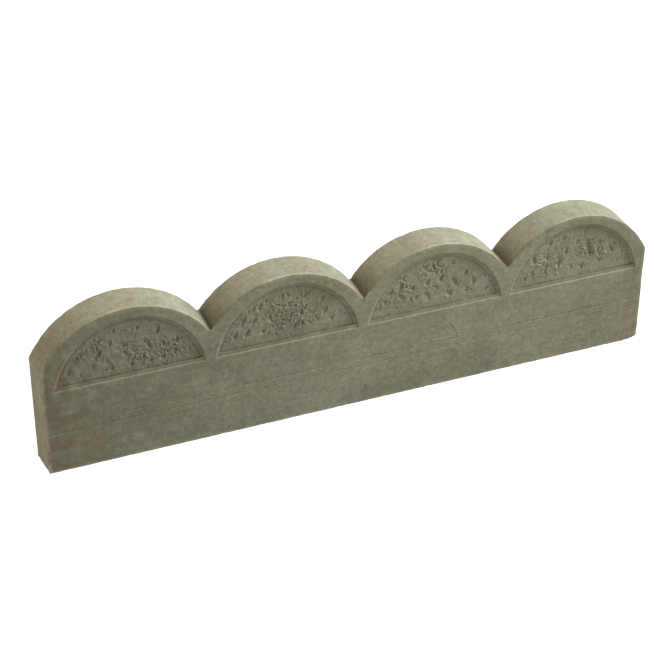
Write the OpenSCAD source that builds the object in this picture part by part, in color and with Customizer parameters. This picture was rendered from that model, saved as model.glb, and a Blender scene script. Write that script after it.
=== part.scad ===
// Scalloped lawn edging stone, cast in one piece of concrete and shown standing on its foot.
// X runs along the stone, the decorated front looks towards -Y and Z is up.
// The origin is at the middle of the foot. All sizes are in millimetres.

/* [Stone] */
// Overall length, measured at the back, where the mould is widest
stone_l = 600; // [570:5:620]
// Overall height from the foot to the scallop tops, measured at the back
stone_h = 150; // [120:1:175]
// Thickness from the front face to the back face
stone_t = 32; // [25:1:60]

/* [Mould draft] */
// How much each end spreads from the front face to the back face
end_draft = 2.5; // [0:0.5:6]
// How much the scallops grow from the front face to the back face
top_draft = 2.5; // [0:0.5:6]

/* [Scallops] */
// Number of scallops along the top
scallop_count = 4; // [3:1:6]
// Radius of a scallop's arc on the front face
scallop_r = 87.5; // [80:0.5:100]
// Distance from the front face's end to the middle of the end scallop
end_margin = 78; // [74:0.5:84]

/* [Panels] */
// Border between a scallop's top and its sunk panel
panel_border = 9; // [6:0.5:20]
// Height of a panel's straight base above the foot
panel_base_h = 80; // [70:1:90]
// Land between the base corners of two neighbouring panels
panel_land = 9; // [4:0.5:24]
// Depth of the crisp step round the panel
step_depth = 0.8; // [0.3:0.1:2]
// How far the step's wall leans in over its depth
step_lean = 0.4; // [0.1:0.1:1]
// Width of the bevel that falls from the step to the field
bevel_w = 3.8; // [2:0.2:6]
// How far the bevel falls over its width
bevel_depth = 1.3; // [0.4:0.1:3]
// Depth of the field below the foot of the bevel
field_depth = 0.6; // [0.2:0.1:2]
// How far the field's wall leans in over its depth
field_lean = 0.4; // [0.1:0.1:1]

/* [Front grooves] */
// Height of the lower groove above the foot
groove_h = 39; // [20:1:55]
// Distance from the lower groove to the upper one
groove_gap = 7.4; // [4:0.2:12]
// Width of each groove at the front face
groove_w = 1.8; // [1:0.1:3]
// Depth of each groove
groove_depth = 0.6; // [0.3:0.1:2]

/* [Arrises] */
// Size of the small chamfer round the front face
front_arris = 1; // [0.2:0.1:3]
// Size of the small chamfer round the back face
back_arris = 0.8; // [0.2:0.1:3]

/* [Hidden] */
$fn = 192;
// How far a cutter runs past the surface that it cuts
overrun = 1;
front_y = -stone_t / 2;
back_y = stone_t / 2;
front_half_l = stone_l / 2 - end_draft;
back_half_l = stone_l / 2;
front_h = stone_h - top_draft;
scallop_z = front_h - scallop_r;
scallop_pitch = 2 * (front_half_l - end_margin) / (scallop_count - 1);
panel_half_w = min(scallop_pitch / 2, end_margin) - panel_land / 2;
panel_rise = front_h - panel_border - panel_base_h;
panel_r = (pow(panel_half_w, 2) + pow(panel_rise, 2)) / (2 * panel_rise);
panel_z = panel_base_h + panel_rise - panel_r;
bevel_foot = step_lean + bevel_w;
bevel_floor = step_depth + bevel_depth;
// Section of a panel's border: how far in from the panel's outline, and how deep
panel_section = [
    [0, 0],
    [step_lean, step_depth],
    [bevel_foot, bevel_floor],
    [bevel_foot + field_lean, bevel_floor + field_depth]
];

// How much an outline has grown at a depth behind the front face, all of it where the back chamfer starts
function grown(draft, depth) = draft * depth / (stone_t - back_arris);

// Middle of each scallop along the stone
function scallop_x(i) = (i - (scallop_count - 1) / 2) * scallop_pitch;

// Stretches a section drawn in Y and Z along X, to both sides of the middle
module along_x(half_l) {
    translate([-half_l, 0, 0])
        rotate([90, 0, 90])
            linear_extrude(2 * half_l)
                children();
}

// Round body from one depth to another behind the front face, with its axis along Y
module round_slab(from, to, r_from, r_to) {
    translate([0, front_y + from, scallop_z])
        rotate([-90, 0, 0])
            cylinder(h = to - from, r1 = r_from, r2 = r_to);
}

// One scallop: a drafted disc with a chamfer at each face
module scallop() {
    r_front = scallop_r + grown(top_draft, front_arris);
    r_back = scallop_r + grown(top_draft, stone_t - back_arris);
    round_slab(0, front_arris, scallop_r - front_arris, r_front);
    round_slab(front_arris, stone_t - back_arris, r_front, r_back);
    round_slab(stone_t - back_arris, stone_t, r_back, r_back - back_arris);
}

// Straight lower part of the stone, up to the middles of the scallops
module plinth() {
    along_x(back_half_l)
        polygon([
            [front_y, front_arris],
            [front_y + front_arris, 0],
            [back_y - back_arris, 0],
            [back_y, back_arris],
            [back_y, scallop_z],
            [front_y, scallop_z]
        ]);
}

// Outline seen from above, which gives the ends their draft and their chamfers
module plan() {
    front_x = front_half_l + grown(end_draft, front_arris);
    back_x = front_half_l + grown(end_draft, stone_t - back_arris);
    linear_extrude(stone_h)
        polygon([
            [-front_half_l + front_arris, front_y],
            [front_half_l - front_arris, front_y],
            [front_x, front_y + front_arris],
            [back_x, back_y - back_arris],
            [back_x - back_arris, back_y],
            [-back_x + back_arris, back_y],
            [-back_x, back_y - back_arris],
            [-front_x, front_y + front_arris]
        ]);
}

// Cutter for one panel. The same section runs round the arc and along the straight base.
module panel() {
    floor_depth = bevel_floor + field_depth;
    intersection() {
        translate([0, front_y, panel_z])
            rotate([-90, 0, 0])
                rotate_extrude()
                    polygon(concat(
                        [[0, -overrun], [panel_r, -overrun]],
                        [for (p = panel_section) [panel_r - p[0], p[1]]],
                        [[0, floor_depth]]
                    ));
        along_x(panel_r + overrun)
            polygon(concat(
                [[front_y - overrun, stone_h], [front_y - overrun, panel_base_h]],
                [for (p = panel_section) [front_y + p[1], panel_base_h + p[0]]],
                [[front_y + floor_depth, stone_h]]
            ));
    }
}

// Fine V groove along the whole front, at a height above the foot
module groove(height) {
    mouth = groove_w / 2 * (1 + overrun / groove_depth);
    along_x(back_half_l + overrun)
        polygon([
            [front_y - overrun, height - mouth],
            [front_y + groove_depth, height],
            [front_y - overrun, height + mouth]
        ]);
}

module edging_stone() {
    color("#7d7962")
        difference() {
            intersection() {
                plan();
                union() {
                    plinth();
                    for (i = [0 : scallop_count - 1])
                        translate([scallop_x(i), 0, 0])
                            scallop();
                }
            }
            for (i = [0 : scallop_count - 1])
                translate([scallop_x(i), 0, 0])
                    panel();
            groove(groove_h);
            groove(groove_h + groove_gap);
        }
}

edging_stone();
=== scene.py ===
"""A scalloped garden edging stone, cast in concrete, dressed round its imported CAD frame.

The stone is one closed mesh. It is cast, pressed, scored, worn and chipped here, and stands
on a pale studio floor. All lengths are in metres, with the millimetre written as MM.
"""
import math
import random

import bmesh
import bpy
import numpy as np
from bpy.props import FloatProperty, FloatVectorProperty, IntProperty, PointerProperty
from mathutils import Matrix, Vector, noise


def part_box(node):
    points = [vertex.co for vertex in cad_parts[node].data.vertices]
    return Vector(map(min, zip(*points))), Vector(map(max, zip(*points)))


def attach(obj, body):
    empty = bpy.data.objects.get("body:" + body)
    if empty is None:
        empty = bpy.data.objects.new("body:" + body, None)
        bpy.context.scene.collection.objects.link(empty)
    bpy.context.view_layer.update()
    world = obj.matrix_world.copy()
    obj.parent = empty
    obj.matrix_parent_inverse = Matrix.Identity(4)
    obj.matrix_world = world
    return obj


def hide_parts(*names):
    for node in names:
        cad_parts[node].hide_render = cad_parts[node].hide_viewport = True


bl_info = {
    "name": "Scalloped edging stone",
    "version": (1, 0, 0),
    "blender": (4, 5, 0),
    "location": "View3D > Sidebar > Edging stone",
    "description": "Casts a scalloped concrete edging stone and lights it on a pale floor",
    "category": "Object",
}

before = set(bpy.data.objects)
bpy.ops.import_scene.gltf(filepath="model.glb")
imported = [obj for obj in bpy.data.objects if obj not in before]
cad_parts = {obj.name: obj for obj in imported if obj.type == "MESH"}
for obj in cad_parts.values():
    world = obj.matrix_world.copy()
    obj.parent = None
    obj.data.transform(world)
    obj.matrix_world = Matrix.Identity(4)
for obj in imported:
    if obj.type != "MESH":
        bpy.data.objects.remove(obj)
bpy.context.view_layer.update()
STONE_LOW, STONE_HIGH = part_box("edging_stone")

MM = 0.001
ARC_FACETS = 256
OVERRUN = 1.5 * MM
FACING_FRONT = Matrix.Rotation(math.radians(90), 4, "X")
FACING_BACK = Matrix.Rotation(math.radians(-90), 4, "X")

# The pressed panel's edge, from the face inwards: (further in, deeper) in millimetres.
# A worn lip and a steep bevel, a nearly level ledge, then a thin crevice round the tooled field.
LIP_WIDTH = 0.35 * MM
PANEL_STEPS = (
    (0.30, 0.15),
    (1.30, 1.15),
    (0.25, 0.15),
    (2.10, 0.35),
    (0.25, 0.55),
    (0.20, 0.00),
    (0.20, -1.50),
)
FIELD_INSET = 3.95 * MM
FIELD_DEPTH = 2.05 * MM

# Tool marks by panel, from the left. Each is a lens-shaped gouge that slopes down from the
# left to a steep right wall: (x from the panel's middle, height, length, width, degrees from
# level, depth), in millimetres.
TOOL_MARKS = (
    (
        (-54.5, 96, 8, 6, 60, 1.1), (-43, 111, 6, 5, 65, 0.9), (-33, 96, 6, 5, 70, 0.9),
        (-44, 90.5, 4, 3, 70, 0.6), (-27.5, 108, 8, 6, 60, 1.2), (-26, 120, 8, 4, 45, 1.0),
        (-21, 99.5, 6, 5, 60, 0.8), (-16, 91, 5, 4, 70, 0.8), (-16, 116.5, 5, 4, 80, 0.6),
        (-13, 128, 5, 4, 60, 0.8), (-4, 111, 7, 4, 30, 0.8), (-3, 102.5, 9, 4, 120, 1.1),
        (1.5, 92, 6, 6, 70, 1.1), (12.5, 97, 6, 5, 70, 1.0), (16.5, 108.5, 13, 6, 112, 1.3),
        (26, 120, 9, 5, 75, 1.3), (30.5, 105, 8, 5, 120, 1.0), (43, 107, 8, 5, 85, 1.0),
        (30, 92.5, 6, 6, 50, 1.1), (40, 96.5, 5, 4, 70, 0.8), (49, 96, 4, 4, 60, 0.9),
        (54, 94, 4, 3.5, 70, 0.7), (19, 91.5, 5, 4, 70, 0.6), (8, 126, 5, 5, 70, 0.7),
        (-3, 127, 5, 3.5, 70, 0.7), (20, 131, 4, 3, 60, 0.7), (3, 104.5, 6, 4, 110, 0.8),
    ),
    (
        (-50, 96.5, 9, 5.5, 65, 1.2), (-39, 97, 9, 5.5, 55, 1.2), (-42, 110.5, 9, 4, 55, 1.0),
        (-31.5, 109, 9, 5.5, 50, 1.2), (-26.5, 121.5, 7, 6, 75, 1.1), (-16.5, 107, 7, 5, 105, 1.2),
        (-24, 96, 5, 5, 60, 0.9), (-12, 91, 5, 4, 60, 0.7), (0.5, 127.5, 5, 5, 70, 1.0),
        (-5, 128, 5, 4, 60, 0.8), (1, 118, 5, 5, 70, 1.0), (18, 124, 9, 3.5, 40, 0.9),
        (33, 116, 9, 5, 60, 1.2), (36, 104.5, 9, 5.5, 55, 1.2), (13, 107.5, 6, 5, 70, 1.2),
        (42.5, 95.5, 6, 6, 60, 1.0), (50, 100, 6, 2.5, 50, 0.7), (28.5, 97, 8, 2.5, 118, 0.9),
        (14, 96, 6, 4, 70, 0.9), (6, 94, 10, 4, 55, 1.0), (-6, 111, 7, 3, 20, 0.7),
        (21, 95, 5, 4, 80, 0.7), (-20, 126, 5, 3, 60, 0.7), (8, 115, 5, 3.5, 60, 0.9),
        (3, 107, 6, 3.5, 75, 1.0), (17, 112, 5, 3.5, 60, 0.9), (-13, 99, 8, 3, 15, 0.6),
    ),
    (
        (-51, 98.5, 6, 5, 70, 1.0), (-45, 107.5, 7, 5, 65, 0.8), (-35, 112, 7, 6, 75, 1.1),
        (-35, 101, 5, 4, 60, 0.8), (-24, 107.5, 8, 5, 60, 1.2), (-9, 110.5, 7, 6, 60, 1.1),
        (-11, 126, 6, 5, 70, 1.0), (-3, 126, 10, 4, 115, 1.2), (1, 128.5, 8, 4, 80, 1.2),
        (5.5, 112.5, 9, 6, 62, 1.4), (17, 126, 6, 6, 65, 1.0), (19, 105, 10, 8, 120, 1.2),
        (0, 103, 7, 5, 150, 0.8), (-8, 96, 11, 6, 120, 1.0), (-20, 97, 6, 4, 70, 0.8),
        (30.5, 113, 7, 5, 50, 1.0), (38.5, 102.5, 10, 6, 95, 1.3), (51, 106, 7, 4, 75, 1.0),
        (14.5, 94.5, 6, 7, 80, 1.1), (31.5, 95, 7, 6, 50, 1.1), (53, 92.5, 5, 5, 60, 1.0),
        (-33, 120, 5, 4, 60, 0.8), (5, 119, 5, 3.5, 60, 0.8), (13, 102, 5, 3, 80, 0.8),
    ),
    (
        (-44, 110, 10, 6.5, 103, 1.1), (-30, 110, 7, 6, 75, 1.02), (-27.5, 124.5, 8, 5.5, 70, 0.94),
        (-13.5, 127.5, 7, 7, 60, 0.94), (-10, 113.5, 10, 5, 75, 1.02), (-17, 101.5, 11, 6, 80, 1.19),
        (-18, 108, 5, 4, 60, 0.85), (-30, 101, 6, 4, 80, 0.94), (-30.5, 94.5, 7, 3, 112, 0.77),
        (-53, 92, 5, 4, 70, 0.77), (-46, 95.5, 7, 5, 80, 0.85), (-3.5, 95, 7, 5.5, 75, 1.02),
        (8, 94.5, 7, 6, 60, 1.1), (14.5, 112, 18, 8, 106, 1.44), (1.5, 120, 6, 7, 80, 0.85),
        (9, 129, 5, 4, 80, 0.77), (26.5, 115, 7, 6, 80, 0.85), (28, 102.5, 5, 4.5, 60, 0.94),
        (26.5, 96.5, 7, 5, 115, 1.02), (40, 105, 10, 6.5, 115, 1.1), (52.5, 100, 5, 4.5, 70, 0.94),
        (50, 104.5, 4, 4, 70, 0.77), (58, 97, 5, 4, 80, 0.77), (5.5, 107, 6, 5, 60, 0.68),
        (-22, 116, 6, 3, 80, 0.42), (-36, 104, 4, 3.5, 70, 0.68), (19, 120, 5, 3, 70, 0.68),
    ),
)
# The tightest crumbs lie round these places: (panel, x, height, how far they spread).
CRUMB_CLUSTERS = (
    (0, -28, 112, 12), (0, 20, 98, 12), (0, 42, 100, 8), (1, 6, 108, 12),
    (2, -34, 106, 9), (3, -34, 102, 10), (3, 22, 108, 8), (1, -8, 118, 11), (2, -2, 124, 8),
)
# Soft stains on the front: (x, height, half width, half height, strength) in millimetres.
FACE_STAINS = (
    (294, 18, 22, 34, 0.8), (284, 30, 16, 26, 0.4), (-85, 122, 16, 8, 0.7), (-278, 25, 30, 34, 0.4),
    (-120, 30, 45, 16, 0.25), (-200, 84, 60, 9, 0.25), (60, 10, 60, 6, 0.15), (-20, 52, 30, 10, 0.15),
    (-23, 125, 22, 11, 0.7), (103, 131, 26, 9, 0.6), (257, 127, 20, 9, 0.6),
)
# Greyer, darker patches towards both ends of the front, in the same way.
FACE_DARKENING = ((-298, 60, 36, 130, 1.25), (-235, 70, 95, 120, 0.5), (298, 75, 26, 70, 0.8))
# A hairline crack in the face, as points (x, height) in millimetres.
CRACK = ((82.3, 69.4), (86.6, 66), (91, 60.5), (95.2, 53.8), (97.8, 47.5))


def scene_property(name):
    """The property group that this add-on keeps on the scene under a name."""
    return getattr(bpy.context.scene, name)


def linear(code):
    """An sRGB hex colour as linear red, green and blue."""
    parts = [int(code[i : i + 2], 16) / 255 for i in (1, 3, 5)]
    return tuple(p / 12.92 if p <= 0.04045 else ((p + 0.055) / 1.055) ** 2.4 for p in parts)


def hex_colour(name, description, code):
    """A colour setting whose default is an sRGB hex value."""
    return FloatVectorProperty(
        name=name, description=description, default=linear(code), subtype="COLOR", min=0, max=1
    )


def length_of(name, description, default):
    """A length setting, in metres."""
    return FloatProperty(name=name, description=description, default=default, unit="LENGTH", min=0)


class StoneSizes(bpy.types.PropertyGroup):
    """The stone's sizes, the same as the CAD frame's."""

    length: length_of("Length", "Length along the back", STONE_HIGH.x - STONE_LOW.x)
    height: length_of("Height", "Height at the back of a scallop", STONE_HIGH.z - STONE_LOW.z)
    thickness: length_of("Thickness", "From the front face to the back", STONE_HIGH.y - STONE_LOW.y)
    end_draft: length_of("End draft", "How much each end leans in at the front", 2.5 * MM)
    top_draft: length_of("Top draft", "How much lower the scallops are at the front", 2.5 * MM)
    scallop_count: IntProperty(name="Scallops", description="Number of scallops", default=4, min=2)
    scallop_radius: length_of("Scallop radius", "Radius of a scallop at the front", 87.5 * MM)
    end_margin: length_of("End margin", "From the front end to the first scallop's middle", 78 * MM)
    panel_border: length_of("Panel border", "Plain border over each panel", 9 * MM)
    panel_base: length_of("Panel base", "Height of the panels' straight edge", 80 * MM)
    panel_land: length_of("Panel land", "Plain land between two panels", 9 * MM)
    groove_height: length_of("Groove height", "Height of the lower scored line", 39 * MM)
    groove_gap: length_of("Groove gap", "Distance between the two scored lines", 7.4 * MM)
    groove_width: length_of("Groove width", "Width of a scored line", 1.7 * MM)
    groove_depth: length_of("Groove depth", "Depth of a scored line", 0.6 * MM)
    front_arris: length_of("Front arris", "Rounding of the edges round the face", 0.6 * MM)
    back_arris: length_of("Back arris", "Rounding of the edges round the back", 0.8 * MM)


class StoneFinish(bpy.types.PropertyGroup):
    """What a user would change in the stone's colours and wear."""

    body_colour: hex_colour("Concrete", "Colour of the clean cast concrete", "#757561")
    stain_colour: hex_colour("Stain", "Earth and iron staining", "#5e5238")
    # This colour paints shade in the front's recesses and along the climbing arrises, and darkens both ends of the
    # front.
    shade_and_dirt_colour: hex_colour("Dirt", "Dirt held in the hollows", "#4f4b37")
    # This pale colour paints worn edges, and a painted highlight on the arrises that face the light.
    wear_and_sheen_colour: hex_colour("Wear", "Rubbed edges, where paler sand shows", "#a3a088")
    face_wave: length_of("Face unevenness", "How far the cast faces depart from flat", 0.12 * MM)
    back_wave: length_of("Back unevenness", "How rough the levelled back is", 0.35 * MM)
    seed: IntProperty(name="Seed", description="Changes the marks, pits and chips", default=7, min=0)


class StudioSettings(bpy.types.PropertyGroup):
    """The camera and the light."""

    camera_place: FloatVectorProperty(
        name="Camera place", description="Where the camera stands", default=(-0.5702, -1.23705, 0.85302),
        subtype="TRANSLATION", unit="LENGTH",
    )
    camera_turn: FloatVectorProperty(
        name="Camera turn", description="How the camera is turned",
        default=tuple(math.radians(a) for a in (59.9525, -0.2255, -23.7187)), subtype="EULER", unit="ROTATION",
    )
    camera_lens: FloatProperty(name="Lens", description="Focal length in millimetres", default=92.914)
    key_power: FloatProperty(name="Key light", description="Power of the high light", default=535, unit="POWER")
    low_power: FloatProperty(name="Low light", description="Power of the low right light", default=48, unit="POWER")
    front_power: FloatProperty(name="Front light", description="Power of the near front light", default=1.6, unit="POWER")
    left_power: FloatProperty(name="Left light", description="Power of the soft left light", default=34, unit="POWER")
    air: FloatProperty(name="Room light", description="Strength of the even light", default=0.3, min=0)
    floor_colour: hex_colour("Floor", "Colour of the lit studio floor", "#ffffff")
    floor_glow: FloatProperty(name="Floor glow", description="Strength of the floor's own light", default=0.94, min=0)


def front_y(sizes):
    return -sizes.thickness / 2


def front_half_length(sizes):
    return sizes.length / 2 - sizes.end_draft


def scallop_xs(sizes):
    """Where the scallops' middles are along the stone, from the left."""
    pitch = 2 * (front_half_length(sizes) - sizes.end_margin) / (sizes.scallop_count - 1)
    return [(i - (sizes.scallop_count - 1) / 2) * pitch for i in range(sizes.scallop_count)]


def scallop_z(sizes):
    return sizes.height - sizes.top_draft - sizes.scallop_radius


def panel_arc(sizes):
    """Radius and middle height of the circle that a panel's round edge follows."""
    xs = scallop_xs(sizes)
    half_width = min((xs[1] - xs[0]) / 2, sizes.end_margin) - sizes.panel_land / 2
    rise = sizes.height - sizes.top_draft - sizes.panel_border - sizes.panel_base
    radius = (half_width**2 + rise**2) / (2 * rise)
    return radius, sizes.panel_base + rise - radius


def new_solid(bm, name):
    """Puts a finished closed bmesh in the scene as an object, with its faces outwards."""
    bmesh.ops.recalc_face_normals(bm, faces=bm.faces[:])
    mesh = bpy.data.meshes.new(name)
    bm.to_mesh(mesh)
    bm.free()
    solid = bpy.data.objects.new(name, mesh)
    bpy.context.scene.collection.objects.link(solid)
    return solid


def combine(body, tool, operation):
    """Joins the tool to the body, cuts it out, or keeps what both share, and uses the tool up."""
    change = body.modifiers.new("combine", "BOOLEAN")
    change.operation = operation
    change.object = tool
    change.solver = "MANIFOLD"
    depsgraph = bpy.context.evaluated_depsgraph_get()
    worked = bpy.data.meshes.new_from_object(body.evaluated_get(depsgraph))
    if not worked.polygons:
        raise RuntimeError(f"{body.name} and {tool.name} left nothing behind")
    body.modifiers.remove(change)
    spent = (body.data, tool.data)
    body.data = worked
    bpy.data.objects.remove(tool)
    for mesh in spent:
        bpy.data.meshes.remove(mesh)


def box_into(bm, low, high):
    """A box between two corners."""
    low, high = Vector(low), Vector(high)
    place = Matrix.Translation((low + high) / 2) @ Matrix.Diagonal((high - low).to_4d())
    return bmesh.ops.create_cube(bm, size=1, matrix=place)["verts"]


def seen_from_front(bm):
    """Everything but the back face, which needs fewer strips."""
    faces = [f for f in bm.faces if f.normal.y < 0.5]
    return list({v for f in faces for v in f.verts}) + list({e for f in faces for e in f.edges}) + faces


def slice_across(bm, normal, start, stop, step, chosen_part=None):
    """Cuts a mesh into even strips, so that it can be worn and dented."""
    normal = Vector(normal)
    at = start
    while at < stop:
        chosen = chosen_part(bm) if chosen_part else bm.verts[:] + bm.edges[:] + bm.faces[:]
        bmesh.ops.bisect_plane(bm, geom=chosen, dist=1e-7, plane_co=normal * at, plane_no=normal)
        at += step


def cast_blank(sizes):
    """The plain stone: a plinth and four discs, kept to the drafted ends, with rounded arrises."""
    front, back = front_y(sizes), sizes.thickness / 2
    half, height = sizes.length / 2, scallop_z(sizes)
    bm = bmesh.new()
    box_into(bm, (-half - OVERRUN, front, -OVERRUN), (half + OVERRUN, back, height))
    stone = new_solid(bm, "edging_stone")
    for x in scallop_xs(sizes):
        bm = bmesh.new()
        bmesh.ops.create_cone(
            bm, cap_ends=True, segments=ARC_FACETS, radius1=sizes.scallop_radius,
            radius2=sizes.scallop_radius + sizes.top_draft, depth=sizes.thickness,
            matrix=Matrix.Translation((x, 0, height)) @ FACING_BACK,
        )
        combine(stone, new_solid(bm, "scallop"), "UNION")
    # A little concrete fills the bottom of each valley, across its whole thickness.
    xs, gap, wide = scallop_xs(sizes), 0.9 * MM, 3 * MM
    reach = (xs[1] - xs[0]) / 2 - gap
    for x in (sum(pair) / 2 for pair in zip(xs, xs[1:])):
        bm = bmesh.new()
        filler = box_into(bm, (x - wide, front, height), (x + wide, back, height + 2 * wide))
        for vert in filler:
            if vert.co.z > height + wide:
                radius = sizes.scallop_radius + (sizes.top_draft if vert.co.y > 0 else 0)
                vert.co.z = height + math.sqrt(radius**2 - reach**2)
        combine(stone, new_solid(bm, "valley_fill"), "UNION")
    bm = bmesh.new()
    corners = box_into(bm, (-half, front - OVERRUN, 0), (half, back + OVERRUN, 2 * sizes.height))
    ahead = [v for v in corners if v.co.y < 0]
    lean = sizes.end_draft / sizes.thickness
    for vert in corners:
        inset = lean * (back - vert.co.y)
        vert.co.x -= math.copysign(inset, vert.co.x)
    combine(stone, new_solid(bm, "mould"), "INTERSECT")
    bm = bmesh.new()
    bm.from_mesh(stone.data)
    bmesh.ops.dissolve_limit(bm, angle_limit=math.radians(0.3), verts=bm.verts[:], edges=bm.edges[:])
    for facing, width in ((-1, sizes.front_arris), (1, sizes.back_arris)):
        rim = [e for e in bm.edges if sum(f.normal.y * facing > 0.99 for f in e.link_faces) == 1]
        bmesh.ops.bevel(
            bm, geom=rim, offset=width, offset_type="OFFSET", segments=2, profile=0.5,
            affect="EDGES", material=-1, clamp_overlap=True,
        )
    bm.to_mesh(stone.data)
    bm.free()
    return stone


def half_round_face(bm, x, y, radius, middle_z, base_z):
    """One flat half-round face that looks out of the front of the stone."""
    place = Matrix.Translation((x, y, middle_z)) @ FACING_FRONT
    rim = bmesh.ops.create_circle(bm, cap_ends=True, segments=ARC_FACETS, radius=radius, matrix=place)["verts"]
    face = rim[0].link_faces[0]
    cut = bmesh.ops.bisect_plane(
        bm, geom=rim + list(face.edges) + [face], dist=1e-7, plane_co=(x, y, base_z),
        plane_no=(0, 0, -1), clear_outer=True,
    )
    return [g for g in cut["geom"] if isinstance(g, bmesh.types.BMFace)][0]


def push_in(bm, face, depth):
    """Extrudes a lone face into the stone as a closed block, and returns its inner face."""
    made = bmesh.ops.extrude_face_region(bm, geom=[face])["geom"]
    bmesh.ops.translate(bm, vec=(0, depth, 0), verts=[g for g in made if isinstance(g, bmesh.types.BMVert)])
    return [g for g in made if isinstance(g, bmesh.types.BMFace)][0]


def panel_die(sizes):
    """The tool that presses the four stepped and bevelled half-round panels."""
    radius, middle_z = panel_arc(sizes)
    bm = bmesh.new()
    for x in scallop_xs(sizes):
        start = half_round_face(
            bm, x, front_y(sizes) - OVERRUN, radius + LIP_WIDTH, middle_z, sizes.panel_base - LIP_WIDTH
        )
        face = push_in(bm, start, OVERRUN)
        bmesh.ops.recalc_face_normals(bm, faces=bm.faces[:])
        for further_in, deeper in PANEL_STEPS:
            bmesh.ops.inset_individual(
                bm, faces=[face], thickness=further_in * MM, depth=deeper * MM, use_even_offset=True
            )
    return new_solid(bm, "panel_die")


def groove_die(sizes, height, strength):
    """A long pointed bar that scores a line along the front. strength is its depth, left to right."""
    bm = bmesh.new()
    half = sizes.length / 2 + OVERRUN
    turn = Matrix.Rotation(math.radians(45), 4, "X")
    bmesh.ops.create_cube(bm, size=math.sqrt(0.5), matrix=turn)
    bmesh.ops.scale(
        bm, vec=(2 * half / math.sqrt(0.5), 2 * sizes.groove_depth, sizes.groove_width), verts=bm.verts[:]
    )
    slice_across(bm, (1, 0, 0), -half + 4 * MM, half, 4 * MM)
    for vert in bm.verts:
        share = (vert.co.x + half) / (2 * half)
        depth = strength[0] + (strength[1] - strength[0]) * share
        depth *= 0.9 + 0.35 * noise.noise(Vector((vert.co.x / (35 * MM), height / MM, 3)))
        vert.co.y *= depth
        vert.co.z *= 0.75 + 0.25 * depth
        vert.co.z += 0.12 * MM * noise.noise(Vector((vert.co.x / (12 * MM), height / MM, 9)))
    bmesh.ops.translate(bm, vec=(0, front_y(sizes), height), verts=bm.verts[:])
    return new_solid(bm, "groove_die")


def smooth_step(t):
    t = np.clip(t, 0, 1)
    return t * t * (3 - 2 * t)


def gouge(x, z, mark):
    """Depth that one tool mark takes off at each point, in millimetres."""
    mark_x, mark_z, length, width, angle, depth = mark
    turn = math.radians(angle)
    along = ((x - mark_x) * math.cos(turn) + (z - mark_z) * math.sin(turn)) / (length / 2)
    across = ((x - mark_x) * math.sin(turn) - (z - mark_z) * math.cos(turn)) / (width / 2)
    lens = np.clip(1 - along**2, 0, None)
    across = across / np.sqrt(lens + 1e-6)
    hollow = np.where(across < 0.4, smooth_step((across + 1) / 1.4), smooth_step((1 - across) / 0.6))
    rim = 0.30 * np.exp(-(((across + 1.15) / 0.3) ** 2)) + 0.18 * np.exp(-(((across - 1.2) / 0.25) ** 2))
    return depth * (hollow * lens**0.5 - rim * lens)


def loose_marks(panel, seed):
    """Small marks that fill the field between the main ones: gouges, and crumbs that stand up."""
    draw = random.Random(seed * 101 + panel)
    marks = []
    for _ in range(36):
        marks.append((
            draw.uniform(-64, 64), draw.uniform(87, 134), draw.uniform(2.2, 5), draw.uniform(1.6, 3),
            draw.gauss(65, 22), draw.uniform(0.25, 0.7),
        ))
    for which, x, z, spread in CRUMB_CLUSTERS:
        if which == panel:
            for _ in range(44):
                marks.append((
                    draw.gauss(x, spread), draw.gauss(z, spread * 0.6), draw.uniform(2, 5),
                    draw.uniform(1.6, 2.8), draw.uniform(0, 180), draw.uniform(-1.0, 0.9),
                ))
    return marks


def field_depths(panel, x, z, seed):
    """Depth of the tooled field below the face at each point, in millimetres."""
    depth, torn = np.zeros_like(x), np.zeros_like(x)
    for mark in TOOL_MARKS[panel % len(TOOL_MARKS)]:
        depth = np.maximum(depth, 1.15 * gouge(x, z, mark))
        depth += np.minimum(gouge(x, z, mark), 0) * 0.9
        torn += 0.9 * np.exp(-((x - mark[0]) ** 2 + (z - mark[1]) ** 2) / (0.6 * mark[2]) ** 2)
    for mark in loose_marks(panel, seed):
        depth += 1.05 * gouge(x, z, mark)
        torn += 0.4 * np.exp(-((x - mark[0]) ** 2 + (z - mark[1]) ** 2) / (0.7 * mark[2]) ** 2)
    torn = np.clip(torn, 0.08, 1)
    grain = np.array([
        (
            0.16 * noise.noise(Vector((a / 3.2, b / 3.2, panel + 0.5))),
            0.25 - abs(noise.noise(Vector((a / 2.6, b / 2.6, panel + 3.5)))),
            noise.noise(Vector((a / 1.3, b / 1.3, panel + 7.5))),
        )
        for a, b in zip(x, z)
    ])
    rough = grain[:, 0] - torn * (0.85 * grain[:, 1] + 0.6 * grain[:, 2])
    return FIELD_DEPTH / MM + np.clip(depth + rough, -1.2, 1.8)


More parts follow.
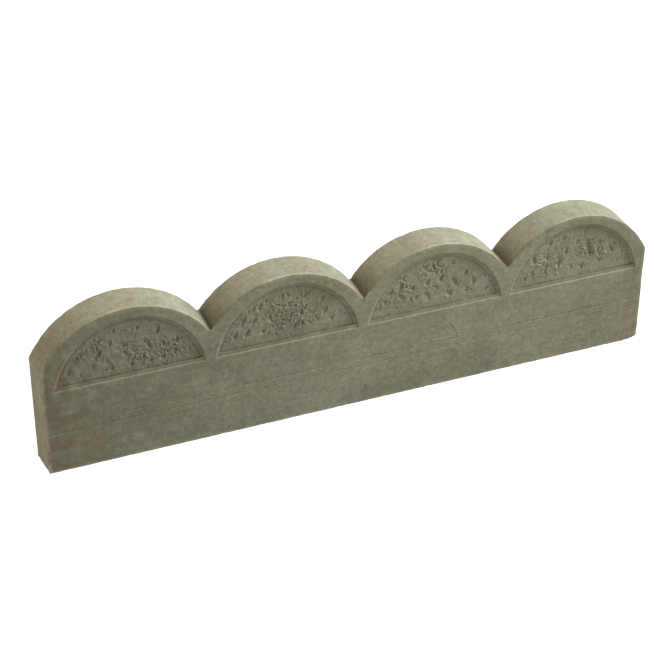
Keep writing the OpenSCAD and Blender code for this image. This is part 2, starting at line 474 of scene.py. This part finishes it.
def field_die(sizes, seed):
    """The tool that leaves the tooled fields: a fine grid for each, dented, thickened and trimmed."""
    radius, middle_z = panel_arc(sizes)
    front = front_y(sizes)
    pitch = 0.7 * MM
    low_z, high_z = sizes.panel_base + 2 * MM, middle_z + radius
    dies = []
    for panel, panel_x in enumerate(scallop_xs(sizes)):
        bm = bmesh.new()
        wide, tall = 2 * radius, high_z - low_z
        place = (
            Matrix.Translation((panel_x, front, (low_z + high_z) / 2)) @ FACING_FRONT
            @ Matrix.Diagonal((wide, tall, 1, 1))
        )
        bmesh.ops.create_grid(
            bm, x_segments=int(wide / pitch), y_segments=int(tall / pitch), size=0.5, matrix=place
        )
        verts = bm.verts[:]
        x = np.array([(v.co.x - panel_x) / MM for v in verts])
        z = np.array([v.co.z / MM for v in verts])
        for vert, depth in zip(verts, field_depths(panel, x, z, seed)):
            vert.co.y = front + depth * MM
        made = bmesh.ops.extrude_face_region(bm, geom=bm.faces[:])["geom"]
        for vert in (g for g in made if isinstance(g, bmesh.types.BMVert)):
            vert.co.y = front - OVERRUN
        die = new_solid(bm, "field_die")
        bm = bmesh.new()
        outline = half_round_face(
            bm, panel_x, front - 2 * OVERRUN, radius - FIELD_INSET, middle_z, sizes.panel_base + FIELD_INSET
        )
        push_in(bm, outline, 5 * OVERRUN)
        combine(die, new_solid(bm, "field_outline"), "INTERSECT")
        dies.append(die)
    return dies


def pit_tools(sizes, seed):
    """Little rough balls: the air holes that wet concrete keeps against its mould."""
    draw = random.Random(seed * 31 + 5)
    back, half = sizes.thickness / 2, sizes.length / 2
    xs, middle_z = scallop_xs(sizes), scallop_z(sizes)
    places = []
    for _ in range(46):
        x, y = draw.choice(xs), draw.uniform(-0.42, 0.42) * sizes.thickness
        angle = math.radians(draw.uniform(-50, 50))
        reach = sizes.scallop_radius + sizes.top_draft * (y + back) / sizes.thickness
        places.append((x + reach * math.sin(angle), y, middle_z + reach * math.cos(angle), draw.uniform(0.3, 0.8)))
    for _ in range(34):
        places.append((draw.uniform(-0.95, 0.95) * half, -back, draw.uniform(4, 76) * MM, draw.uniform(0.3, 0.8)))
    for _ in range(40):
        places.append((draw.uniform(-0.95, 0.95) * half, back, draw.uniform(4, 104) * MM, draw.uniform(0.4, 1.4)))
    for side in (-1, 1):
        for _ in range(12):
            y = draw.uniform(-0.42, 0.42) * sizes.thickness
            x = side * (half - sizes.end_draft * (back - y) / sizes.thickness)
            places.append((x, y, draw.uniform(6, 95) * MM, draw.uniform(0.3, 0.8)))
    bm = bmesh.new()
    for x, y, z, size in places:
        ball = bmesh.ops.create_icosphere(
            bm, subdivisions=1, radius=size * MM, matrix=Matrix.Translation((x, y, z))
        )["verts"]
        for vert in ball:
            vert.co += Vector([draw.uniform(-0.18, 0.18) * size * MM for _ in range(3)])
    return new_solid(bm, "pits")


def crack_tool(sizes):
    """A thin blade along the crack's line, that opens it half a millimetre."""
    bm = bmesh.new()
    box_into(bm, (CRACK[0][0] * MM, -0.25 * MM, -1 * MM), (CRACK[-1][0] * MM, 0.25 * MM, 1 * MM))
    for x, _ in CRACK[1:-1]:
        slice_across(bm, (1, 0, 0), x * MM, (x + 0.1) * MM, 1)
    xs, zs = zip(*CRACK)
    for vert in bm.verts:
        at, side, deep = vert.co.x / MM, vert.co.y, vert.co.z
        taper = math.sin(math.pi * min(max((at - xs[0]) / (xs[-1] - xs[0]), 0.04), 0.96))
        height = float(np.interp(at, xs, zs)) * MM + side * (0.4 + 0.6 * taper)
        vert.co = Vector((vert.co.x + 0.6 * side, front_y(sizes) + deep * 0.5, height))
    return new_solid(bm, "crack")


def chip_tool(centre, radii, draw):
    """One rough lump that knocks a chip off an edge."""
    bm = bmesh.new()
    place = Matrix.Translation(centre) @ Matrix.Diagonal((*radii, 1))
    for vert in bmesh.ops.create_icosphere(bm, subdivisions=2, radius=1, matrix=place)["verts"]:
        vert.co = Vector(centre) + (vert.co - Vector(centre)) * draw.uniform(0.82, 1.12)
    return new_solid(bm, "chip")


def knock_chips(stone, sizes, seed):
    """The broken lower right corner, the ragged left foot, and small nicks along the arrises."""
    draw = random.Random(seed * 17 + 3)
    front, half = front_y(sizes), front_half_length(sizes)
    chips = [
        ((half - 1 * MM, front - 1 * MM, -0.5 * MM), (9, 4, 3.2)),
        ((half + 1 * MM, front + 1 * MM, 0), (3.5, 5, 4.5)),
        ((half - 12 * MM, front - 1.2 * MM, -0.8 * MM), (5, 3, 2.2)),
        ((-half - 1.5 * MM, front + 6 * MM, -1 * MM), (2.4, 5, 2.2)),
        ((-half - 2.5 * MM, front + 17 * MM, -1 * MM), (2.2, 6, 2.4)),
        ((-half - 3.2 * MM, front + 27 * MM, -1 * MM), (2.4, 5, 3)),
    ]
    for _ in range(26):
        x = draw.uniform(-0.97, 0.97) * half
        chips.append(((x, front - 0.9 * MM, -0.7 * MM), (draw.uniform(1.5, 5), 2, draw.uniform(1.2, 1.7))))
    for _ in range(10):
        x = draw.uniform(-0.97, 0.97) * half
        chips.append(((x, -front + 0.9 * MM, -0.7 * MM), (draw.uniform(2, 6), 2, draw.uniform(1.2, 2))))
    lumps = [chip_tool(centre, [r * MM for r in radii], draw) for centre, radii in chips]
    for lump in lumps[1:]:
        combine(lumps[0], lump, "UNION")
    combine(stone, lumps[0], "DIFFERENCE")


def outline_depth(sizes, x, y, z):
    """How far each point lies inside the stone's outline, at its own distance from the front."""
    share = np.clip((y - front_y(sizes)) / sizes.thickness, 0, 1)
    radius = sizes.scallop_radius + sizes.top_draft * share
    inside = scallop_z(sizes) - z
    for middle in scallop_xs(sizes):
        inside = np.maximum(inside, radius - np.hypot(x - middle, z - scallop_z(sizes)))
    ends = sizes.length / 2 - sizes.end_draft * (1 - share) - np.abs(x)
    return np.minimum(np.minimum(inside, ends), z)


def inward(sizes, co):
    """Which way is into the stone from a point on its outline, level with the face."""
    xs, middle_z = scallop_xs(sizes), scallop_z(sizes)
    nearest = min(xs, key=lambda x: abs(x - co.x))
    lean = sizes.end_draft * (sizes.thickness / 2 - co.y) / sizes.thickness
    to_end = sizes.length / 2 - lean - abs(co.x)
    to_foot = co.z
    to_top = sizes.scallop_radius - math.hypot(co.x - nearest, co.z - middle_z)
    least = min(to_end, to_foot, to_top if co.z > middle_z else to_end)
    if least == to_foot:
        return Vector((0, 0, 1))
    if least == to_end:
        return Vector((-math.copysign(1, co.x), 0, 0))
    return Vector((nearest - co.x, 0, middle_z - co.z)).normalized()


def wear_faces(stone, sizes, finish):
    """Takes the flatness off the faces: always inwards, so that the stone keeps its size."""
    mesh = stone.data
    front, back = front_y(sizes), sizes.thickness / 2
    for vert in mesh.vertices:
        co, at = vert.co, vert.co / MM
        broad = noise.noise(at / 38) * 0.6 + noise.noise(at / 14 + Vector((5, 0, 0))) * 0.4
        fine = noise.noise(at / 5.5 + Vector((0, 9, 0)))
        depth = finish.face_wave * (0.5 + 0.5 * broad) + 0.25 * finish.face_wave * (1 + fine)
        edge = outline_depth(sizes, *(np.array([c]) for c in co))[0]
        on_front, on_back = co.y - front < 5 * MM and edge > -1 * MM, back - co.y < 0.9 * MM
        on_rim = edge < 1.3 * MM
        if on_rim and (co.y - front < 1.3 * MM or on_back):
            depth += 0.4 * MM * max(0, noise.noise(at / 7 + Vector((2, 2, 2))))
        move = Vector((0, 0, 0))
        if on_back:
            rough = noise.noise(at / 9 + Vector((0, 0, 4)))
            move.y -= depth + finish.back_wave * (0.5 + 0.5 * rough)
        elif on_front and (not on_rim or co.y - front < 1.3 * MM):
            move.y += depth
        if on_rim:
            move += inward(sizes, co) * depth
        vert.co = co + move


def mark_wear_and_shade(stone, sizes):
    """Keeps three values on the mesh for its finish: worn arrises partly painted as highlight, painted shade in the
    recesses and on the climbing arrises with darker ends of the front, and stains partly painted as shade on the
    scallop slopes.
    """
    mesh = stone.data
    co = np.zeros(len(mesh.vertices) * 3, np.float32)
    mesh.vertices.foreach_get("co", co)
    x, y, z = co.reshape(-1, 3).astype(float).T
    into = y - front_y(sizes)
    edge = outline_depth(sizes, x, y, z)
    # Pale worn edges round the front: partly wear, and partly a painted highlight, since they are taken off the
    # climbing arrises turned from the light and kept where the light falls.
    near = 0.3 * np.exp(-((np.clip(edge, 0, None) / (1.6 * MM)) ** 2) - (np.clip(into, 0, None) / (1.3 * MM)) ** 2)
    # Painted shade: the front darkens the deeper a point lies in a panel, groove or pit.
    hollow = 0.12 * np.clip((into - 0.25 * MM) / (2.6 * MM), 0, 1) * (edge > 6 * MM) * (y < 0)
    stain_and_shade = np.zeros_like(x)
    for at_x, at_z, wide, tall, strength in FACE_STAINS:
        spot = np.exp(-(((x / MM - at_x) / wide) ** 2) - ((z / MM - at_z) / tall) ** 2)
        stain_and_shade = np.maximum(stain_and_shade, strength * spot * (into < 6 * MM))
    # Darker patches at both ends of the front.
    for at_x, at_z, wide, tall, strength in FACE_DARKENING:
        spot = np.exp(-(((x / MM - at_x) / wide) ** 2) - ((z / MM - at_z) / tall) ** 2)
        hollow = hollow + strength * spot * (into < 6 * MM) * (edge > 0.1 * MM)
    # Water standing in the valleys browns the left-facing slope of the scallop to its right. That browning is also
    # painted shade on the side turned from the light. The first scallop gets less, and the foot of each right-facing
    # flank above a valley gets a little.
    xs, middle_z = scallop_xs(sizes), scallop_z(sizes)
    on_top = (edge < 1.5 * MM) & (z > middle_z)
    for middle in xs:
        lean = np.degrees(np.arctan2(x - middle, np.clip(z - middle_z, MM, None)))
        own = on_top & (np.abs(x - middle) < (xs[1] - xs[0]) / 2 + MM)
        share = (0.35 if middle == xs[0] else 0.6) * smooth_step((-lean - 18) / 40)
        share = np.maximum(share, 0.15 * smooth_step((lean - 46) / 12) * (middle != xs[-1]))
        # A thin line of painted shade follows each front arris where it climbs, on the side turned from the light, and
        # the pale edge is taken off there.
        line = np.exp(-((into / (1.3 * MM)) ** 2)) * smooth_step((-lean - 8) / 14)
        near = np.where(own, near * (1 - line), near)
        hollow = np.where(own, np.maximum(hollow, 1.2 * line), hollow)
        stain_and_shade = np.where(own, np.maximum(stain_and_shade, share), stain_and_shade)
    for name, values in (("wear_and_sheen", near), ("hollow", hollow), ("stain_and_shade", stain_and_shade)):
        store = mesh.attributes.new(name, "FLOAT", "POINT")
        store.data.foreach_set("value", values.astype(np.float32))


def add_node(tree, kind, inputs=None, **settings):
    """Adds one node with its settings. Each input is a value, or another node's output to link."""
    node = tree.nodes.new(kind)
    for name, value in settings.items():
        setattr(node, name, value)
    for key, value in (inputs or {}).items():
        if isinstance(value, bpy.types.NodeSocket):
            tree.links.new(value, node.inputs[key])
        else:
            node.inputs[key].default_value = value
    return node


def wet_cast_concrete(finish):
    """Wet-cast concrete, poured in a smooth mould, struck, cured and left unsealed.

    That gives the eye a matt, slightly chalky skin in a grey-green cement colour, softly cloudy,
    finely speckled with sand, faintly streaked along the mould, and browned where water stands.
    Painted shade darkens the recesses, the climbing arrises and the left-facing scallop slopes,
    and a painted highlight lies on the arrises that face the light.
    """
    material = bpy.data.materials.new("Wet_cast_concrete")
    material.use_nodes = True
    tree = material.node_tree
    tree.nodes.clear()
    place = add_node(tree, "ShaderNodeTexCoord").outputs["Object"]
    along = add_node(tree, "ShaderNodeMapping", {"Vector": place, "Scale": (1, 1, 14)}).outputs[0]
    stain_and_shade, hollow, wear_and_sheen = (
        add_node(tree, "ShaderNodeAttribute", attribute_name=name).outputs["Fac"]
        for name in ("stain_and_shade", "hollow", "wear_and_sheen")
    )
    dark, pale = (0.05, 0.05, 0.044), (0.72, 0.72, 0.68)
    # Each layer: coordinates, real size, detail, how it is laid on, its colour, and its least
    # and greatest share. A share may be one of the values kept on the mesh. The noise repeats
    # about once a unit, so its scale is one over the real size. The sand is 0.6 to 1.3 mm,
    # about one pixel of the studio view.
    layers = (
        (place, 70 * MM, 1, "MIX", finish.stain_colour, -0.15, 0.22),
        (place, 40 * MM, 2, "MULTIPLY", (0.70, 0.70, 0.66), 0.0, 0.60),
        (place, 14 * MM, 3, "MULTIPLY", (0.70, 0.70, 0.66), 0.0, 0.36),
        (along, 45 * MM, 4, "MULTIPLY", (0.76, 0.76, 0.73), 0.0, 0.55),
        (along, 14 * MM, 3, "MULTIPLY", (0.80, 0.80, 0.78), 0.0, 0.40),
        (place, 5 * MM, 3, "SOFT_LIGHT", dark, 0.0, 0.32),
        (place, 1.9 * MM, 2, "SOFT_LIGHT", pale, 0.0, 0.34),
        (place, 1.1 * MM, 1, "SOFT_LIGHT", dark, 0.0, 0.32),
        # Stains, and painted shade on the scallop slopes turned from the light.
        (place, 12 * MM, 2, "MIX", finish.stain_colour, 0.0, stain_and_shade),
        # Painted shade in the recesses and along the climbing arrises, and the darker ends of the front.
        (place, 12 * MM, 3, "MIX", finish.shade_and_dirt_colour, 0.0, hollow),
        # Worn edges, with a painted highlight on the arrises that face the light.
        (place, 16 * MM, 3, "MIX", finish.wear_and_sheen_colour, 0.0, wear_and_sheen),
    )
    colour = (*finish.body_colour, 1)
    for vector, size, detail, how, tint, least, most in layers:
        cloud = add_node(
            tree, "ShaderNodeTexNoise", {"Vector": vector, "Scale": 1 / size, "Detail": detail, "Roughness": 0.55}
        )
        share = add_node(
            tree, "ShaderNodeMapRange",
            {"Value": cloud.outputs["Fac"], "From Min": 0.3, "From Max": 0.7, "To Min": least, "To Max": most},
        )
        colour = add_node(
            tree, "ShaderNodeMix", {0: share.outputs["Result"], 6: colour, 7: (*tint, 1)},
            data_type="RGBA", blend_type=how, clamp_factor=True,
        ).outputs[2]
    sand, lumps, patches = (
        add_node(tree, "ShaderNodeTexNoise", {"Vector": place, "Scale": 1 / size, "Detail": 3}).outputs["Fac"]
        for size in (1.1 * MM, 4 * MM, 6 * MM)
    )
    height = add_node(tree, "ShaderNodeMath", {0: lumps, 1: 1.6, 2: sand}, operation="MULTIPLY_ADD")
    relief = add_node(
        tree, "ShaderNodeBump", {"Strength": 0.36, "Distance": 0.4 * MM, "Height": height.outputs[0]}
    )
    matt = add_node(
        tree, "ShaderNodeMapRange", {"Value": patches, "From Min": 0.3, "From Max": 0.7, "To Min": 0.82, "To Max": 0.97}
    )
    shader = add_node(
        tree, "ShaderNodeBsdfPrincipled",
        {
            "Base Color": colour, "Roughness": matt.outputs["Result"], "Normal": relief.outputs["Normal"],
            "Specular IOR Level": 0.3, "IOR": 1.5,
        },
    )
    add_node(tree, "ShaderNodeOutputMaterial", {"Surface": shader.outputs["BSDF"]})
    return material


def opal_acrylic(settings):
    """Opal acrylic sheet, cast and matt, lit from below as a photographer's light table is.

    That gives the eye an even near-white ground that shows hardly any shadow.
    """
    material = bpy.data.materials.new("Opal_acrylic")
    material.use_nodes = True
    shader = material.node_tree.nodes["Principled BSDF"]
    shader.inputs["Base Color"].default_value = (0.12, 0.12, 0.12, 1)
    shader.inputs["Roughness"].default_value = 0.95
    shader.inputs["Specular IOR Level"].default_value = 0.0
    shader.inputs["Emission Color"].default_value = (*settings.floor_colour, 1)
    shader.inputs["Emission Strength"].default_value = settings.floor_glow
    return material


def area_light(name, power, size, place, aim, colour):
    """A soft rectangular light that points at a spot."""
    light = bpy.data.lights.new(name, "AREA")
    light.energy, light.size, light.color = power, size, colour
    lamp = bpy.data.objects.new(name, light)
    lamp.location = place
    lamp.rotation_euler = (Vector(aim) - Vector(place)).to_track_quat("-Z", "Y").to_euler()
    bpy.context.scene.collection.objects.link(lamp)


class OBJECT_OT_cast_edging_stone(bpy.types.Operator):
    """Cast the stone: blank, panels, scored lines, tooled fields, pits, chips and concrete"""

    bl_idname = "object.cast_edging_stone"
    bl_label = "Cast edging stone"

    def execute(self, context):
        sizes, finish = scene_property("stone_sizes"), scene_property("stone_finish")
        stone = cast_blank(sizes)
        combine(stone, panel_die(sizes), "DIFFERENCE")
        for height, strength in (
            (sizes.groove_height, (0.7, 0.4)),
            (sizes.groove_height + sizes.groove_gap, (0.4, 0.9)),
        ):
            combine(stone, groove_die(sizes, height, strength), "DIFFERENCE")
        back, half = sizes.thickness / 2, sizes.length / 2
        bm = bmesh.new()
        bm.from_mesh(stone.data)
        bmesh.ops.dissolve_limit(bm, angle_limit=math.radians(0.05), verts=bm.verts[:], edges=bm.edges[:])
        for normal, start, stop, step in (
            ((1, 0, 0), -half, half, 5.6 * MM),
            ((0, 0, 1), 0, sizes.height, 5.6 * MM),
            ((0, 1, 0), -back, back - 1 * MM, 3.6 * MM),
        ):
            slice_across(bm, normal, start + step, stop, step)
        for normal, start, stop, step in (
            ((1, 0, 0), -half, half, 5.6 * MM),
            ((0, 0, 1), 0, sizes.height, 5.6 * MM),
        ):
            slice_across(bm, normal, start + step / 2, stop, step, seen_from_front)
        bm.to_mesh(stone.data)
        bm.free()
        wear_faces(stone, sizes, finish)
        for die in field_die(sizes, finish.seed):
            combine(stone, die, "DIFFERENCE")
        combine(stone, crack_tool(sizes), "DIFFERENCE")
        combine(stone, pit_tools(sizes, finish.seed), "DIFFERENCE")
        knock_chips(stone, sizes, finish.seed)
        mark_wear_and_shade(stone, sizes)
        stone.data.shade_smooth()
        stone.data.set_sharp_from_angle(angle=math.radians(38))
        weigh = stone.modifiers.new("weighted_normals", "WEIGHTED_NORMAL")
        weigh.mode, weigh.keep_sharp = "FACE_AREA", True
        stone.data.materials.clear()
        stone.data.materials.append(wet_cast_concrete(finish))
        stone.name = "Scalloped_stone"
        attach(stone, "root")
        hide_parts("edging_stone")
        return {"FINISHED"}


class OBJECT_OT_set_edging_studio(bpy.types.Operator):
    """Set the stage: a pale floor, soft studio light, and the camera"""

    bl_idname = "object.set_edging_studio"
    bl_label = "Set edging studio"

    def execute(self, context):
        settings = scene_property("edging_studio")
        bm = bmesh.new()
        bmesh.ops.create_grid(bm, x_segments=1, y_segments=1, size=12)
        floor = new_solid(bm, "Studio_floor")
        if floor.data.polygons[0].normal.z < 0:
            floor.data.flip_normals()
        floor.data.materials.append(opal_acrylic(settings))
        aim = (0.05, 0, 0.08)
        area_light("Key_light", settings.key_power, 1.4, (2.65, -0.42, 3.15), aim, (0.92, 0.91, 1.0))
        area_light("Low_light", settings.low_power, 0.7, (2.2, -0.5, 0.85), aim, (1.0, 0.98, 0.96))
        area_light("Front_light", settings.front_power, 0.4, (0.12, -0.43, 0.4), (0.12, 0, 0.08), (1.0, 1.0, 0.98))
        area_light("Left_light", settings.left_power, 0.8, (-1.55, 0.5, 1.0), aim, (1.0, 0.83, 0.71))
        world = bpy.data.worlds.new("Studio_air")
        world.use_nodes = True
        air = world.node_tree.nodes["Background"]
        air.inputs["Color"].default_value = (1, 1, 1, 1)
        air.inputs["Strength"].default_value = settings.air
        context.scene.world = world
        context.scene.view_settings.view_transform = "Standard"
        lens = bpy.data.cameras.new("Studio_camera")
        lens.lens, lens.sensor_width, lens.clip_end = settings.camera_lens, 36, 20
        camera = bpy.data.objects.new("Studio_camera", lens)
        camera.location, camera.rotation_euler = settings.camera_place, settings.camera_turn
        context.scene.collection.objects.link(camera)
        context.scene.camera = camera
        return {"FINISHED"}


class VIEW3D_PT_edging_stone(bpy.types.Panel):
    """Lists the stone's settings and its operators"""

    bl_label = "Edging stone"
    bl_space_type = "VIEW_3D"
    bl_region_type = "UI"
    bl_category = "Edging stone"

    def draw(self, context):
        for group, operator in (
            ("stone_sizes", None),
            ("stone_finish", OBJECT_OT_cast_edging_stone),
            ("edging_studio", OBJECT_OT_set_edging_studio),
        ):
            settings = getattr(context.scene, group)
            column = self.layout.column(align=True)
            for name in settings.__annotations__:
                column.prop(settings, name)
            if operator:
                self.layout.operator(operator.bl_idname)


CLASSES = (
    StoneSizes,
    StoneFinish,
    StudioSettings,
    OBJECT_OT_cast_edging_stone,
    OBJECT_OT_set_edging_studio,
    VIEW3D_PT_edging_stone,
)


def register():
    for kind in CLASSES:
        bpy.utils.register_class(kind)
    bpy.types.Scene.stone_sizes = PointerProperty(type=StoneSizes)
    bpy.types.Scene.stone_finish = PointerProperty(type=StoneFinish)
    bpy.types.Scene.edging_studio = PointerProperty(type=StudioSettings)


def unregister():
    del bpy.types.Scene.edging_studio
    del bpy.types.Scene.stone_finish
    del bpy.types.Scene.stone_sizes
    for kind in reversed(CLASSES):
        bpy.utils.unregister_class(kind)


def main():
    register()
    bpy.ops.object.cast_edging_stone()
    bpy.ops.object.set_edging_studio()


if __name__ == "__main__":
    main()
